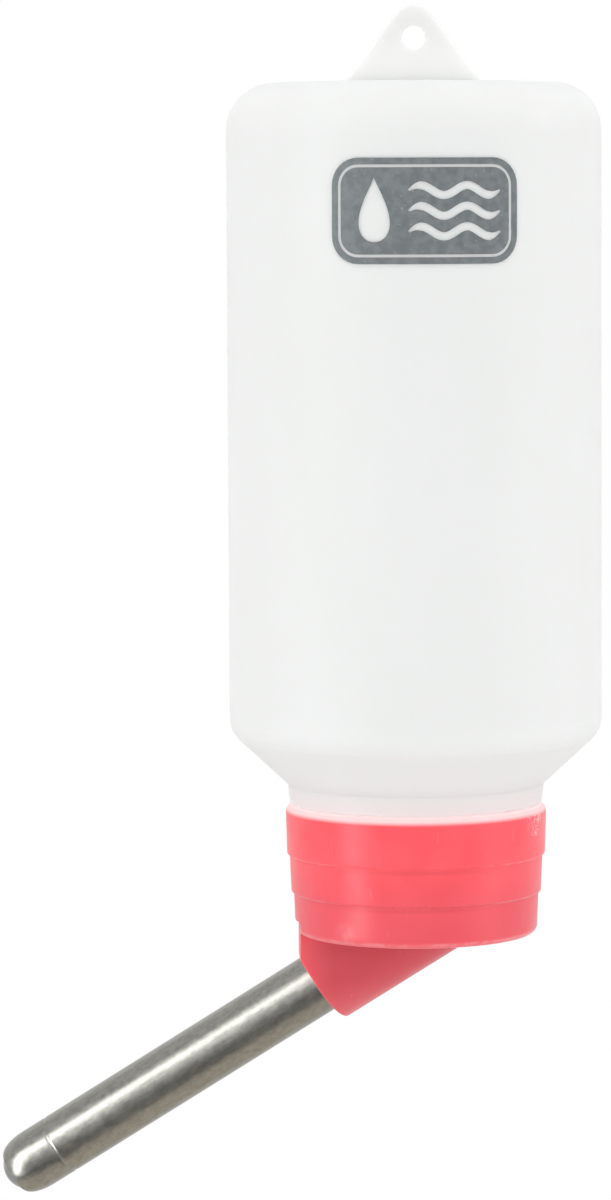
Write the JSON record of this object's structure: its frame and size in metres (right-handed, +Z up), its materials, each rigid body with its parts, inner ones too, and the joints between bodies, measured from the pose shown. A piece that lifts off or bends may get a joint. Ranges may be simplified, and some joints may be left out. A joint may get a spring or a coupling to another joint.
{
  "type": "rabbit water bottle",
  "caption": "Hanging drinking bottle for small animals: frosted bottle with a lug, stepped red screw cap and a slanting steel ball-point tube.",
  "frame": {"origin": "centre of the hole in the hanging lug", "axes": "+Z up along the bottle's axis, which hangs neck down; +Y through the lug's hole; the spout points to -X, turned 7.5 degrees towards +Y"},
  "size_m": [0.0962, 0.0584, 0.1894],
  "materials": {
    "frosted_bottle": "frosted translucent",
    "red_cap": "satin, slightly translucent",
    "seal_rubber": "matt",
    "steel_tube": "satin",
    "steel_ball": "polished",
    "printed_mark": "screen-printed ink"
  },
  "bodies": {
    "bottle": {"bottle": "frosted_bottle"},
    "seal": {"cap_seal": "seal_rubber"},
    "cap": {"screw_cap": "red_cap", "spout_tube": "steel_tube"},
    "tip_ball": {"tip_ball": "steel_ball"},
    "check_ball": {"check_ball": "steel_ball"}
  },
  "joints": [
    {"name": "cap_travel", "type": "slide", "parent": "bottle", "child": "seal", "axis": [0, 0, -1], "range_m": [0, 0.01681]},
    {"name": "cap_turn", "type": "hinge", "parent": "seal", "child": "cap", "pos_m": [0, 0, -0.139], "axis": [0, 0, -1], "range_deg": [0, 1440]},
    {"name": "tip_ball_push", "type": "slide", "parent": "cap", "child": "tip_ball", "axis": [0.8343, -0.1098, 0.5402], "range_m": [0, 0.0046]},
    {"name": "check_ball_lift", "type": "slide", "parent": "cap", "child": "check_ball", "axis": [0.8343, -0.1098, 0.5402], "range_m": [0, 0.0046]}
  ],
  "couplings": [
    {"joint": "cap_travel", "follows": "cap_turn", "m_per_rad": 0.00066845},
    {"joint": "check_ball_lift", "follows": "tip_ball_push", "ratio": 1}
  ]
}
